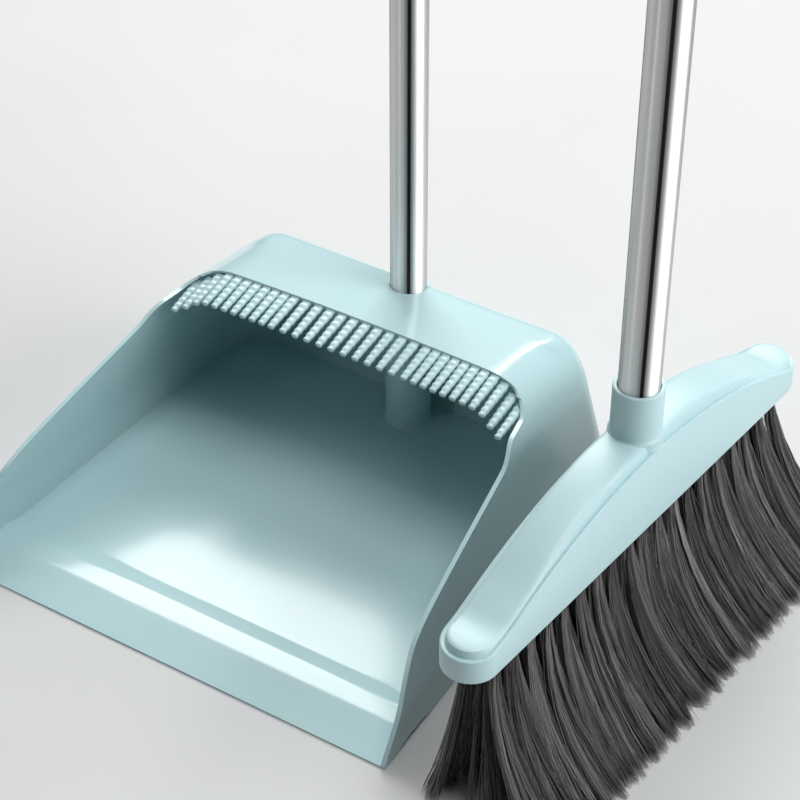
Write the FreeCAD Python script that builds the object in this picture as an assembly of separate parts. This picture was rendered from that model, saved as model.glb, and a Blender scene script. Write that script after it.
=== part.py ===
import FreeCAD, Part
import math
import os

# Dust pan on a tall pole, with an upright broom standing at its right side.
# Millimetres. Origin: on the ground, on the axis of the dust pan's pole.
# +X is the pan's right side, +Y its back, +Z up. The pan's mouth faces -Y.

# ---- dust pan: plan and heights ----
PAN_FRONT_HALF = 139.8      # half width at the lip
PAN_REAR_HALF = 131.0       # half width at the back wall's foot
POLE_TO_LIP = 243.0         # pole axis to the front lip
POLE_TO_BACK = 20.0         # pole axis to the back wall's foot
BACK_LEAN = 4.5             # degrees, back wall leans forward
REAR_CORNER_R = 26.0        # plan radius of the two back corners
HOOD_EDGE_TO_POLE = 49.0    # hood's front edge to the pole axis
HOOD_EDGE_Z = 104.0         # hood's top surface at its front edge
HOOD_SLOPE = 6.8            # degrees, hood falls towards the back
HOOD_BACK_R = 10.0          # rounding between hood and back wall
HOOD_CROWN = 3.0            # forward sweep of the hood's edge at its ends
WALL = 2.5                  # side, back and hood wall
FLOOR = 2.5                 # floor thickness
CREASE_Z = 24.0             # height of the fold in the side walls
WALL_LEAN = 13.5            # degrees, side walls lean inwards above the fold
SHOULDER_R = 28.0           # round shoulder between side wall and hood

# ---- dust pan: lip ridge on the floor ----
LIP_THICK = 1.2             # front edge of the floor
RIDGE_Z = 5.0               # top of the ridge
RAMP_END = 25.0             # lip to the start of the ridge's top
RIDGE_END = 37.0            # lip to the end of the ridge's top
FALL_END = 48.0             # lip to the flat floor
LIP_LAND = 5.0              # flat underside strip at the lip

# ---- dust pan: side walls' top edge ----
SIDE_KNEE = (36.0, 50.0)    # steep rise turns to gentle rise: behind the lip, above the ground
SIDE_KNEE_R = 90.0
SIDE_NOTCH = (46.0, 25.0)   # gentle rise turns up: ahead of and below the hood's edge
SIDE_NOTCH_R = 16.0
SIDE_TOP = (34.0, 16.0)     # edge reaches the shoulder: ahead of and below the hood's edge
SIDE_TOP_R = 12.0
MOUTH_SIDE_DROP = 12.5      # mouth's edge along the shoulder, below the hood's edge
MOUTH_CORNER_R = 16.0       # plan radius of the mouth's two back corners

# ---- hair comb ----
COMB_FIT = 0.1              # gap between the comb's rail and the hood
RAIL_THICK = 2.4
RAIL_DEPTH = 11.0           # rail's reach under the hood
TOOTH_WIDTH = 4.2
TOOTH_THICK = 2.4
TOOTH_REACH = 21.5          # tip ahead of the hood's edge
TOOTH_DROP = 17.0           # degrees below level
TOOTH_TIP_SHARE = 0.62      # tip width over root width
TOOTH_ROUND_SHARE = 0.95    # tip rounding over half the tip width
OUTER_PITCH = 6.5
OUTER_GAPS = 10
MIDDLE_PITCH = 8.2
MIDDLE_GAPS = 11

# ---- poles ----
POLE_D = 21.0
POLE_WALL = 0.6
PRESS_FIT = 0.04            # radial gap between a plug and its tube
RUN_FIT = 0.05              # radial gap between a screw stud and its socket
SOCKET_FIT = 0.1            # radial gap between a pole and its socket
STUD_D = 15.8
STUD_LEN = 22.0
PLUG_DEPTH = 24.0           # plug's reach into the tube
PLUG_FLANGE = 2.0
COUPLER_COLLAR = 6.0
COUPLER_STUD_D = 13.0
COUPLER_STUD_LEN = 16.0
COUPLER_GAP = 0.3           # axial gap between the two collars
INSERT_DEPTH = 26.0         # coupler insert's reach into its tube
GRIP_WALL = 1.95
GRIP_LEN = 100.0
GRIP_FIT = 0.05
GROOVE_COUNT = 4            # finger grooves round the grip
GROOVE_R = 1.4
GROOVE_PROUD = 0.6          # groove's centre outside the grip's surface
CAP_HEIGHT = 10.0
CAP_SPIGOT = 18.0
EYE_R = 9.0                 # round top of the hanging eye
EYE_THICK = 8.0
EYE_HOLE_R = 4.0
EYE_RISE = 14.0             # cap's top to the hanging hole

# ---- pan socket and pole lengths ----
PAN_SOCKET_WALL = 3.0
PAN_POLE_FOOT_Z = 34.0      # bottom of the pan's steel tube
PAN_COUPLER_Z = 420.0       # middle of the pan pole's coupler
PAN_POLE_TOP_Z = 740.0      # top of the pan's upper tube

# ---- broom: head ----
BROOM_TO_PAN = 56.2         # broom's axis from the pan's front corner, across
BROOM_Y = -103.0
BROOM_YAW = 5.3             # degrees, far end turned away from the pan
HEAD_HALF_LEN = 149.0
HEAD_HALF_WIDTH = 14.6
RIM_Z = 94.0                # lower rim of the head
HEAD_WALL = 2.4
LEDGE_IN = 1.8              # step from the skirt to the upper tier
LEDGE_END_Z = 108.0         # ledge height at the ends
LEDGE_MID_Z = 141.0         # ledge height at the middle
TIER_RISE = 5.5             # ledge to the top surface
ARCH_FROM_END = 25.0        # from the head's end to where the arch starts
ARCH_FOOT_R = 45.0
ARCH_TOP = 60.0             # from the middle to the arch's shoulder
ARCH_TOP_R = 150.0
BOSS_WALL = 2.4
BOSS_RISE = 29.0            # boss rim above the head's top
BROOM_SEAT = 27.0           # pole's depth in the boss

# ---- broom: tuft plate, screws and tufts ----
PLATE_FIT = 0.2
PLATE_SINK = 1.0            # plate's underside above the rim
PLATE_THICK = 8.0
SCREW_FROM_END = 37.0       # outer screws, from the head's ends
SCREW_FROM_MIDDLE = 42.0    # inner screws, from the head's middle
SCREW_R = 1.5
SCREW_HEAD_R = 2.7
SCREW_HEAD_LEN = 2.2
SCREW_BITE = 9.0            # screw's reach above the plate
SCREW_PRESS = 0.05
SCREW_SPARE = 1.0           # pilot hole's depth beyond the screw's tip
SLOT_WIDTH = 0.8            # cross recess in the screw's head
SLOT_DEPTH = 1.0
POST_R = 3.6
TUFT_HOLE_R = 2.1
TUFT_HOLE_DEPTH = 6.0
TUFT_FIT = 0.05
TUFT_PITCH = 14.0
TUFT_FOOT_R = 6.4
ROW_OFFSET = 7.0            # outer rows from the head's middle line
ROW_FROM_END = 22.5         # least room from a row's last tuft to the head's end
NEAR_FLARE = 47.0           # foot of the right row from the middle line
FAR_FLARE = 31.0            # foot of the left row from the middle line
END_FLARE = 0.10            # extra spread along the head, over the length
ANCHOR_WIRE = 0.5           # width of the flat wire that anchors a tuft
ANCHOR_HEIGHT = 0.9
ANCHOR_SHARE = 0.95         # its length over the hole's width
ANCHOR_GAP = 0.1            # between the anchor and the tuft's root
BROOM_COUPLER_Z = 500.0
BROOM_POLE_TOP_Z = 820.0

V = FreeCAD.Vector
X_AXIS = V(1, 0, 0)
Z_AXIS = V(0, 0, 1)
FAR = 400.0                 # beyond every edge of the object
EPS = 0.2                   # keeps rounding cutters off the faces they meet


def tan_deg(angle):
    return math.tan(math.radians(angle))


def sin_deg(angle):
    return math.sin(math.radians(angle))


def cos_deg(angle):
    return math.cos(math.radians(angle))


def rounded_wire(points, radii):
    """Closed wire through the points, each corner rounded by its radius."""
    count = len(points)
    ends = []
    for i in range(count):
        corner = points[i]
        before = (points[i - 1] - corner).normalize()
        after = (points[(i + 1) % count] - corner).normalize()
        if radii[i] == 0:
            ends.append((corner, corner, corner))
            continue
        half = before.getAngle(after) / 2.0
        reach = radii[i] / math.tan(half)
        inward = (before + after).normalize()
        centre = corner + inward * (radii[i] / math.sin(half))
        middle = centre - inward * radii[i]
        ends.append((corner + before * reach, middle, corner + after * reach))
    edges = []
    for i in range(count):
        first, middle, last = ends[i]
        if radii[i] != 0:
            edges.append(Part.Arc(first, middle, last).toShape())
        following = ends[(i + 1) % count][0]
        if (following - last).Length > 1e-6:
            edges.append(Part.LineSegment(last, following).toShape())
    return Part.Wire(edges)


def prism(wire, direction):
    return Part.Face(wire).extrude(direction)


def side_prism(points, radii, half_width):
    """Solid of a side-view (Y, Z) outline, reaching half_width to each side."""
    wire = rounded_wire([V(-half_width, y, z) for y, z in points], radii)
    return prism(wire, V(2 * half_width, 0, 0))


def tube(outer_r, inner_r, low, high):
    body = Part.makeCylinder(outer_r, high - low, V(0, 0, low))
    return body.cut(Part.makeCylinder(inner_r, high - low, V(0, 0, low)))


def rod(radius, low, high):
    return Part.makeCylinder(radius, high - low, V(0, 0, low))


# ---- dust pan ----

LIP_Y = -POLE_TO_LIP
HOOD_EDGE_Y = -HOOD_EDGE_TO_POLE
MOUTH_SIDE_Z = HOOD_EDGE_Z - MOUTH_SIDE_DROP


def half_at(y):
    """Half width of the floor's outline at y."""
    share = (y - LIP_Y) / (POLE_TO_BACK - LIP_Y)
    return PAN_FRONT_HALF + (PAN_REAR_HALF - PAN_FRONT_HALF) * share


def hood_z(y):
    """Height of the hood's outer surface at y."""
    return HOOD_EDGE_Z - (y - HOOD_EDGE_Y) * tan_deg(HOOD_SLOPE)


def shoulder_centre(y):
    """Centre of the shoulder's arc in the section at y."""
    z = hood_z(y) - SHOULDER_R
    x = half_at(y) - (SHOULDER_R + (z - CREASE_Z) * sin_deg(WALL_LEAN)) / cos_deg(WALL_LEAN)
    return x, z


def section(y, inset, rise):
    """Cross-section wire of the pan at y, moved inwards by inset."""
    cx, cz = shoulder_centre(y)
    radius = SHOULDER_R - inset
    half = half_at(y) - inset
    fold = CREASE_Z - inset * tan_deg(WALL_LEAN / 2.0)

    def arc_point(angle, side):
        return V(side * (cx + radius * cos_deg(angle)), y, cz + radius * sin_deg(angle))

    middle = (WALL_LEAN + 90.0) / 2.0
    right = [V(half, y, rise), V(half, y, fold), arc_point(WALL_LEAN, 1)]
    left = [arc_point(WALL_LEAN, -1), V(-half, y, fold), V(-half, y, rise)]
    edges = [
        Part.LineSegment(right[0], right[1]).toShape(),
        Part.LineSegment(right[1], right[2]).toShape(),
        Part.Arc(right[2], arc_point(middle, 1), arc_point(90.0, 1)).toShape(),
        Part.LineSegment(arc_point(90.0, 1), arc_point(90.0, -1)).toShape(),
        Part.Arc(arc_point(90.0, -1), arc_point(middle, -1), left[0]).toShape(),
        Part.LineSegment(left[0], left[1]).toShape(),
        Part.LineSegment(left[1], left[2]).toShape(),
        Part.LineSegment(left[2], right[0]).toShape(),
    ]
    return Part.Wire(edges)


def tunnel(inset, rise):
    """The pan's section carried from ahead of the lip to behind the back wall."""
    front = section(LIP_Y - inset, inset, rise)
    back = section(POLE_TO_BACK + WALL, inset, rise)
    return Part.makeLoft([front, back], True, True)


def back_outline(z, inset):
    """Plan outline at height z with the two back corners rounded."""
    lean = max(0.0, z - CREASE_Z) * tan_deg(WALL_LEAN)
    rear = POLE_TO_BACK - z * tan_deg(BACK_LEAN) - inset
    front = LIP_Y - WALL
    grow = EPS - inset - lean
    points = [
        V(-half_at(front) - grow, front, z),
        V(half_at(front) + grow, front, z),
        V(half_at(rear) + grow, rear, z),
        V(-half_at(rear) - grow, rear, z),
    ]
    radius = REAR_CORNER_R - inset
    return rounded_wire(points, [0, 0, radius, radius])


def corner_block(inset, low):
    """Body with rounded, leaning back corners, cut from the tunnel's solid."""
    high = hood_z(LIP_Y) + WALL
    lower = Part.makeLoft([back_outline(low, inset), back_outline(CREASE_Z, inset)], True, True)
    upper = Part.makeLoft([back_outline(CREASE_Z, inset), back_outline(high, inset)], True, True)
    return lower.fuse(upper)


def hood_block(inset, floor_points):
    """Side-view body with the hood rounded into the back wall."""
    slope = tan_deg(HOOD_SLOPE)
    drop = inset - EPS
    roof_front = hood_z(LIP_Y - WALL) - drop / cos_deg(HOOD_SLOPE)
    back_foot = POLE_TO_BACK - drop / cos_deg(BACK_LEAN)
    lean = tan_deg(BACK_LEAN)
    foot_z = floor_points[-1][1]
    ridge_y = (back_foot - lean * (roof_front + slope * (LIP_Y - WALL))) / (1.0 - lean * slope)
    ridge_z = roof_front - slope * (ridge_y - LIP_Y + WALL)
    points = floor_points + [
        (back_foot - foot_z * lean, foot_z),
        (ridge_y, ridge_z),
        (LIP_Y - WALL, roof_front),
    ]
    radii = [0] * len(points)
    radii[-2] = HOOD_BACK_R - inset
    return side_prism(points, radii, PAN_FRONT_HALF + FAR)


def pan_outer():
    solid = tunnel(0.0, -WALL).common(corner_block(0.0, -WALL))
    return solid.common(hood_block(0.0, [(LIP_Y, 0.0), (POLE_TO_BACK - 1.0, 0.0)]))


def pan_cavity(inset):
    """Space inside the pan, above the floor's ramp, ridge and flat."""
    floor_points = [
        (LIP_Y - WALL, LIP_THICK),
        (LIP_Y, LIP_THICK),
        (LIP_Y + RAMP_END, RIDGE_Z),
        (LIP_Y + RIDGE_END, RIDGE_Z),
        (LIP_Y + FALL_END, FLOOR),
        (0.0, FLOOR),
    ]
    solid = tunnel(inset, LIP_THICK / 2.0).common(corner_block(inset, LIP_THICK / 2.0))
    return solid.common(hood_block(inset, floor_points))


def mouth_half():
    """Half width of the mouth where its edge runs along the shoulder."""
    cx, cz = shoulder_centre(HOOD_EDGE_Y)
    rise = MOUTH_SIDE_Z - cz
    return cx + math.sqrt(SHOULDER_R ** 2 - rise ** 2)


def mouth_plan(grow, low):
    """Upright body of the mouth's plan: crowned back edge, round corners."""
    half = mouth_half() + grow
    side_y = HOOD_EDGE_Y - HOOD_CROWN + grow
    radius = MOUTH_CORNER_R + grow
    corner_x = half - radius
    bow = V(0, HOOD_EDGE_Y + grow, low)
    turn = radius * math.sqrt(0.5)
    front_y = LIP_Y - FAR
    edges = [
        Part.LineSegment(V(-half, front_y, low), V(half, front_y, low)).toShape(),
        Part.LineSegment(V(half, front_y, low), V(half, side_y - radius, low)).toShape(),
        Part.Arc(V(half, side_y - radius, low), V(corner_x + turn, side_y - radius + turn, low),
                 V(corner_x, side_y, low)).toShape(),
        Part.Arc(V(corner_x, side_y, low), bow, V(-corner_x, side_y, low)).toShape(),
        Part.Arc(V(-corner_x, side_y, low), V(-corner_x - turn, side_y - radius + turn, low),
                 V(-half, side_y - radius, low)).toShape(),
        Part.LineSegment(V(-half, side_y - radius, low), V(-half, front_y, low)).toShape(),
    ]
    return prism(Part.Wire(edges), V(0, 0, FAR))


def mouth_side():
    """Body above the side walls' top edge, from the lip to the shoulder."""
    end_y = HOOD_EDGE_Y - HOOD_CROWN - MOUTH_CORNER_R
    slope = SIDE_KNEE[1] / SIDE_KNEE[0]
    points = [
        (LIP_Y - WALL, -slope * WALL),
        (LIP_Y + SIDE_KNEE[0], SIDE_KNEE[1]),
        (HOOD_EDGE_Y - SIDE_NOTCH[0], HOOD_EDGE_Z - SIDE_NOTCH[1]),
        (HOOD_EDGE_Y - SIDE_TOP[0], HOOD_EDGE_Z - SIDE_TOP[1]),
        (end_y, MOUTH_SIDE_Z),
        (end_y, FAR),
        (LIP_Y - FAR, FAR),
        (LIP_Y - FAR, -slope * WALL),
    ]
    radii = [0, SIDE_KNEE_R, SIDE_NOTCH_R, SIDE_TOP_R, 0, 0, 0, 0]
    walls = side_prism(points, radii, PAN_FRONT_HALF + FAR)
    keep_floor = Part.makeBox(
        2 * FAR, FAR, FAR, V(-FAR, LIP_Y - FAR / 2.0, -FAR + RIDGE_Z))
    inside = tunnel(WALL, LIP_THICK / 2.0)
    return walls.cut(keep_floor.common(inside))


def ridge_relief():
    """Hollow under the lip's ridge, so that the floor keeps an even wall."""
    top = RIDGE_Z - FLOOR
    points = [
        (LIP_Y + LIP_LAND, 0.0),
        (LIP_Y + RAMP_END, top),
        (LIP_Y + RIDGE_END, top),
        (LIP_Y + FALL_END, 0.0),
        (LIP_Y + FALL_END, -FLOOR),
        (LIP_Y + LIP_LAND, -FLOOR),
    ]
    wide = side_prism(points, [0] * len(points), PAN_FRONT_HALF + FAR)
    half = half_at(LIP_Y + FALL_END) - 2 * WALL
    keep = Part.makeBox(2 * half, FAR, FAR, V(-half, LIP_Y - WALL, -FAR / 2.0))
    return wide.common(keep)


POLE_R = POLE_D / 2.0
SOCKET_R = POLE_R + SOCKET_FIT
STUD_R = STUD_D / 2.0


def make_pan_body():
    shell = pan_outer().cut(pan_cavity(WALL))
    shell = shell.cut(mouth_side())
    shell = shell.cut(mouth_plan(0.0, MOUTH_SIDE_Z - SHOULDER_R / 2.0))
    shell = shell.cut(ridge_relief())
    column = rod(SOCKET_R + PAN_SOCKET_WALL, FLOOR / 2.0, HOOD_EDGE_Z)
    column = column.common(pan_outer())
    shell = shell.fuse(column)
    flange_z = PAN_POLE_FOOT_Z - PLUG_FLANGE
    shell = shell.cut(rod(SOCKET_R, flange_z, HOOD_EDGE_Z + FAR))
    shell = shell.cut(rod(STUD_R + RUN_FIT, flange_z - STUD_LEN - FLOOR, flange_z))
    return shell.removeSplitter()


# ---- hair comb ----

def tooth_places():
    """X places of the teeth: close at both ends, wider in the middle."""
    gaps = [OUTER_PITCH] * OUTER_GAPS + [MIDDLE_PITCH] * MIDDLE_GAPS
    gaps = gaps + [OUTER_PITCH] * OUTER_GAPS
    place = -sum(gaps) / 2.0
    places = [place]
    for gap in gaps:
        place = place + gap
        places.append(place)
    return places


def edge_y(x):
    """Y of the mouth's back edge at x."""
    half = mouth_half()
    corner_x = half - MOUTH_CORNER_R
    side_y = HOOD_EDGE_Y - HOOD_CROWN
    if abs(x) <= corner_x:
        return HOOD_EDGE_Y - HOOD_CROWN * (x / corner_x) ** 2
    across = min(abs(x) - corner_x, MOUTH_CORNER_R)
    return side_y - MOUTH_CORNER_R + math.sqrt(MOUTH_CORNER_R ** 2 - across ** 2)


def skin_z(x, y):
    """Height of the comb rail's top side under the hood at x, y."""
    cx, cz = shoulder_centre(y)
    radius = SHOULDER_R - WALL - COMB_FIT
    across = max(0.0, abs(x) - cx)
    return cz + math.sqrt(radius ** 2 - across ** 2)


def make_tooth(x):
    root_y = edge_y(x) + RAIL_DEPTH / 2.0
    root_z = skin_z(abs(x) + TOOTH_WIDTH / 2.0, root_y)
    length = (TOOTH_REACH + RAIL_DEPTH / 2.0) / cos_deg(TOOTH_DROP)
    root = TOOTH_WIDTH / 2.0
    tip = root * TOOTH_TIP_SHARE
    points = [V(-root, 0, 0), V(root, 0, 0), V(tip, -length, 0), V(-tip, -length, 0)]
    end_r = tip * TOOTH_ROUND_SHARE
    blade = prism(rounded_wire(points, [0, 0, end_r, end_r]), V(0, 0, -TOOTH_THICK))
    blade.rotate(V(0, 0, 0), X_AXIS, TOOTH_DROP)
    blade.translate(V(x, root_y, root_z))
    return blade


def make_hair_comb():
    rail = pan_cavity(WALL + COMB_FIT).cut(pan_cavity(WALL + COMB_FIT + RAIL_THICK))
    low = MOUTH_SIDE_Z - WALL - RAIL_THICK
    band = mouth_plan(RAIL_DEPTH, low).cut(mouth_plan(COMB_FIT, low - WALL))
    half = mouth_half()
    keep = Part.makeBox(2 * half, FAR, FAR, V(-half, HOOD_EDGE_Y - MOUTH_CORNER_R - HOOD_CROWN, low))
    rail = rail.common(band).common(keep)
    return rail.fuse([make_tooth(x) for x in tooth_places()]).removeSplitter()


# ---- poles: every piece is made on the Z axis ----

TUBE_IN_R = POLE_R - POLE_WALL
INSERT_R = TUBE_IN_R - PRESS_FIT
COUPLER_STUD_R = COUPLER_STUD_D / 2.0
GRIP_R = POLE_R + GRIP_FIT + GRIP_WALL


def make_plug(foot_z):
    """Plug in the tube's foot: flange, and the screw stud below it."""
    flange_low = foot_z - PLUG_FLANGE
    solid = rod(INSERT_R, foot_z, foot_z + PLUG_DEPTH)
    solid = solid.fuse(rod(POLE_R, flange_low, foot_z))
    return solid.fuse(rod(STUD_R, flange_low - STUD_LEN, flange_low)).removeSplitter()


def make_lower_tube(foot_z, coupler_z):
    return tube(POLE_R, TUBE_IN_R, foot_z, coupler_z - COUPLER_COLLAR)


def make_coupler_socket(coupler_z):
    low = coupler_z - COUPLER_COLLAR
    solid = rod(POLE_R, low, coupler_z).fuse(rod(INSERT_R, low - INSERT_DEPTH, low))
    bore_low = coupler_z - COUPLER_STUD_LEN - COUPLER_COLLAR
    return solid.cut(rod(COUPLER_STUD_R + RUN_FIT, bore_low, coupler_z)).removeSplitter()


def make_coupler_stud(coupler_z):
    low = coupler_z + COUPLER_GAP
    high = low + COUPLER_COLLAR
    solid = rod(POLE_R, low, high).fuse(rod(INSERT_R, high, high + INSERT_DEPTH))
    return solid.fuse(rod(COUPLER_STUD_R, low - COUPLER_STUD_LEN, low)).removeSplitter()


def make_upper_tube(coupler_z, top_z):
    return tube(POLE_R, TUBE_IN_R, coupler_z + COUPLER_GAP + COUPLER_COLLAR, top_z)


def make_grip(top_z):
    solid = tube(GRIP_R, POLE_R + GRIP_FIT, top_z - GRIP_LEN, top_z)
    for i in range(GROOVE_COUNT):
        ring_z = top_z - GRIP_LEN * (i + 1) / (GROOVE_COUNT + 1)
        solid = solid.cut(Part.makeTorus(GRIP_R + GROOVE_PROUD, GROOVE_R, V(0, 0, ring_z)))
    return solid


def make_hang_cap(top_z):
    high = top_z + CAP_HEIGHT
    solid = rod(GRIP_R, top_z, high).fuse(rod(INSERT_R, top_z - CAP_SPIGOT, top_z))
    eye_z = high + EYE_RISE
    disc = Part.makeCylinder(EYE_R, EYE_THICK, V(-EYE_THICK / 2.0, 0, eye_z), X_AXIS)
    neck = Part.makeBox(EYE_THICK, 2 * EYE_R, eye_z - top_z - CAP_HEIGHT / 2.0,
                        V(-EYE_THICK / 2.0, -EYE_R, top_z + CAP_HEIGHT / 2.0))
    solid = solid.fuse([disc, neck])
    hole = Part.makeCylinder(EYE_HOLE_R, 2 * EYE_THICK, V(-EYE_THICK, 0, eye_z), X_AXIS)
    return solid.cut(hole).removeSplitter()


def make_pole(name, foot_z, coupler_z, top_z):
    return {
        name + "_pole_plug": make_plug(foot_z),
        name + "_pole_lower": make_lower_tube(foot_z, coupler_z),
        name + "_coupler_socket": make_coupler_socket(coupler_z),
        name + "_coupler_stud": make_coupler_stud(coupler_z),
        name + "_pole_upper": make_upper_tube(coupler_z, top_z),
        name + "_grip": make_grip(top_z),
        name + "_hang_cap": make_hang_cap(top_z),
    }


# ---- broom: made on the Z axis with the head along Y ----

BROOM_X = PAN_FRONT_HALF + BROOM_TO_PAN
ARCH_FOOT = HEAD_HALF_LEN - ARCH_FROM_END
OUTER_SCREW = HEAD_HALF_LEN - SCREW_FROM_END
SCREW_PLACES = (-OUTER_SCREW, -SCREW_FROM_MIDDLE, SCREW_FROM_MIDDLE, OUTER_SCREW)
BOSS_TOP_Z = LEDGE_MID_Z + TIER_RISE + BOSS_RISE
BROOM_FOOT_Z = BOSS_TOP_Z - BROOM_SEAT
BOSS_R = SOCKET_R + BOSS_WALL
PLATE_LOW_Z = RIM_Z + PLATE_SINK
PLATE_TOP_Z = PLATE_LOW_Z + PLATE_THICK


def stadium(half_len, half_width, low, high):
    """Upright body with straight sides and round ends."""
    straight = half_len - half_width
    body = Part.makeBox(2 * half_width, 2 * straight, high - low, V(-half_width, -straight, low))
    ends = [Part.makeCylinder(half_width, high - low, V(0, side * straight, low))
            for side in (-1, 1)]
    return body.fuse(ends).removeSplitter()


def arch(end_z, middle_z, low, half_width):
    """Side-view body under a symmetrical arch."""
    reach = HEAD_HALF_LEN + HEAD_HALF_WIDTH
    points = [
        (-reach, low),
        (reach, low),
        (reach, end_z),
        (ARCH_FOOT, end_z),
        (ARCH_TOP, middle_z),
        (-ARCH_TOP, middle_z),
        (-ARCH_FOOT, end_z),
        (-reach, end_z),
    ]
    radii = [0, 0, 0, ARCH_FOOT_R, ARCH_TOP_R, ARCH_TOP_R, ARCH_FOOT_R, 0]
    return side_prism(points, radii, half_width)


def head_layer(inset, drop, low):
    """Skirt or upper tier of the head, moved inwards and down."""
    high = LEDGE_MID_Z + TIER_RISE + BOSS_RISE
    body = stadium(HEAD_HALF_LEN - inset, HEAD_HALF_WIDTH - inset, low, high)
    return body.common(arch(LEDGE_END_Z - drop, LEDGE_MID_Z - drop, low, 2 * HEAD_HALF_WIDTH))


def make_broom_head():
    solid = head_layer(0.0, 0.0, RIM_Z).fuse(head_layer(LEDGE_IN, -TIER_RISE, RIM_Z))
    hollow = head_layer(HEAD_WALL + LEDGE_IN, HEAD_WALL - TIER_RISE, PLATE_TOP_Z)
    pocket = stadium(HEAD_HALF_LEN - HEAD_WALL, HEAD_HALF_WIDTH - HEAD_WALL, RIM_Z, PLATE_TOP_Z)
    stud_low = BROOM_FOOT_Z - PLUG_FLANGE - STUD_LEN
    boss = rod(BOSS_R, stud_low - HEAD_WALL, BOSS_TOP_Z)
    inner_boss = boss.common(head_layer(LEDGE_IN, -TIER_RISE, PLATE_TOP_Z))
    outer_boss = rod(BOSS_R, LEDGE_MID_Z, BOSS_TOP_Z)
    posts = [Part.makeCylinder(POST_R, FAR, V(0, y, PLATE_TOP_Z)) for y in SCREW_PLACES]
    posts = [post.common(hollow) for post in posts]
    solid = solid.cut(hollow).cut(pocket).fuse([inner_boss, outer_boss] + posts)
    flange_z = BROOM_FOOT_Z - PLUG_FLANGE
    solid = solid.cut(rod(SOCKET_R, flange_z, BOSS_TOP_Z))
    solid = solid.cut(rod(STUD_R + RUN_FIT, stud_low, flange_z))
    for y in SCREW_PLACES:
        pilot = Part.makeCylinder(SCREW_R + SCREW_PRESS, SCREW_BITE, V(0, y, PLATE_TOP_Z))
        solid = solid.cut(pilot)
    return solid.removeSplitter()


def row_places(count):
    return [(i - (count - 1) / 2.0) * TUFT_PITCH for i in range(count)]


def row_plan():
    """Rows of tufts: name, offset at the plate, offset at the ground, places."""
    steps = int((HEAD_HALF_LEN - ROW_FROM_END) / TUFT_PITCH)
    outer = row_places(2 * steps + 1)
    middle = row_places(2 * steps)
    return [
        ("tufts_left", -ROW_OFFSET, -FAR_FLARE, outer),
        ("tufts_middle", 0.0, (NEAR_FLARE - FAR_FLARE) / 2.0, middle),
        ("tufts_right", ROW_OFFSET, NEAR_FLARE, outer),
    ]


def clear_of_screws(x, y):
    """True where a tuft's hole leaves room for the screws."""
    room = SCREW_HEAD_R + TUFT_HOLE_R + HEAD_WALL / 2.0
    return all(math.hypot(x, y - place) > room for place in SCREW_PLACES)


def tuft_spots():
    """Every tuft: row name, place at the plate, place at the ground."""
    spots = []
    for name, top_x, foot_x, places in row_plan():
        for y in places:
            if clear_of_screws(top_x, y):
                spots.append((name, V(top_x, y, 0), V(foot_x, y * (1.0 + END_FLARE), 0)))
    return spots


def make_tuft(top, foot):
    """One tuft: a short round root in the plate, then a cone to the ground."""
    root_r = TUFT_HOLE_R - TUFT_FIT
    upper = Part.Circle(V(top.x, top.y, PLATE_LOW_Z), Z_AXIS, root_r).toShape()
    lower = Part.Circle(foot, Z_AXIS, TUFT_FOOT_R).toShape()
    cone = Part.makeLoft([Part.Wire([lower]), Part.Wire([upper])], True, True)
    root_len = TUFT_HOLE_DEPTH - ANCHOR_HEIGHT - ANCHOR_GAP
    root = Part.makeCylinder(root_r, root_len, V(top.x, top.y, PLATE_LOW_Z))
    return cone.fuse(root)


def make_tuft_row(name):
    return Part.makeCompound([make_tuft(top, foot) for row, top, foot in tuft_spots() if row == name])


def make_tuft_plate():
    gap = HEAD_WALL + PLATE_FIT
    plate = stadium(HEAD_HALF_LEN - gap, HEAD_HALF_WIDTH - gap, PLATE_LOW_Z, PLATE_TOP_Z)
    holes = []
    for row, top, foot in tuft_spots():
        holes.append(Part.makeCylinder(TUFT_HOLE_R, TUFT_HOLE_DEPTH, V(top.x, top.y, PLATE_LOW_Z)))
    for y in SCREW_PLACES:
        holes.append(Part.makeCylinder(SCREW_R + PLATE_FIT, PLATE_THICK, V(0, y, PLATE_LOW_Z)))
        holes.append(Part.makeCylinder(SCREW_HEAD_R + PLATE_FIT, SCREW_HEAD_LEN, V(0, y, PLATE_LOW_Z)))
    return plate.cut(Part.makeCompound(holes))


def make_plate_screws():
    screws = []
    for y in SCREW_PLACES:
        head = Part.makeCylinder(SCREW_HEAD_R, SCREW_HEAD_LEN, V(0, y, PLATE_LOW_Z))
        reach = PLATE_THICK + SCREW_BITE - SCREW_SPARE
        shank = Part.makeCylinder(SCREW_R, reach, V(0, y, PLATE_LOW_Z))
        half = SLOT_WIDTH / 2.0
        slot = Part.makeBox(2 * SCREW_HEAD_R, SLOT_WIDTH, SLOT_DEPTH,
                            V(-SCREW_HEAD_R, y - half, PLATE_LOW_Z))
        cross = Part.makeBox(SLOT_WIDTH, 2 * SCREW_HEAD_R, SLOT_DEPTH,
                             V(-half, y - SCREW_HEAD_R, PLATE_LOW_Z))
        screws.append(head.fuse(shank).cut(slot).cut(cross).removeSplitter())
    return Part.makeCompound(screws)


def make_tuft_anchors():
    anchors = []
    top_z = PLATE_LOW_Z + TUFT_HOLE_DEPTH
    length = 2 * (TUFT_HOLE_R - TUFT_FIT) * ANCHOR_SHARE
    for row, top, foot in tuft_spots():
        corner = V(top.x - ANCHOR_WIRE / 2.0, top.y - length / 2.0, top_z - ANCHOR_HEIGHT)
        anchors.append(Part.makeBox(ANCHOR_WIRE, length, ANCHOR_HEIGHT, corner))
    return Part.makeCompound(anchors)


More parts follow.
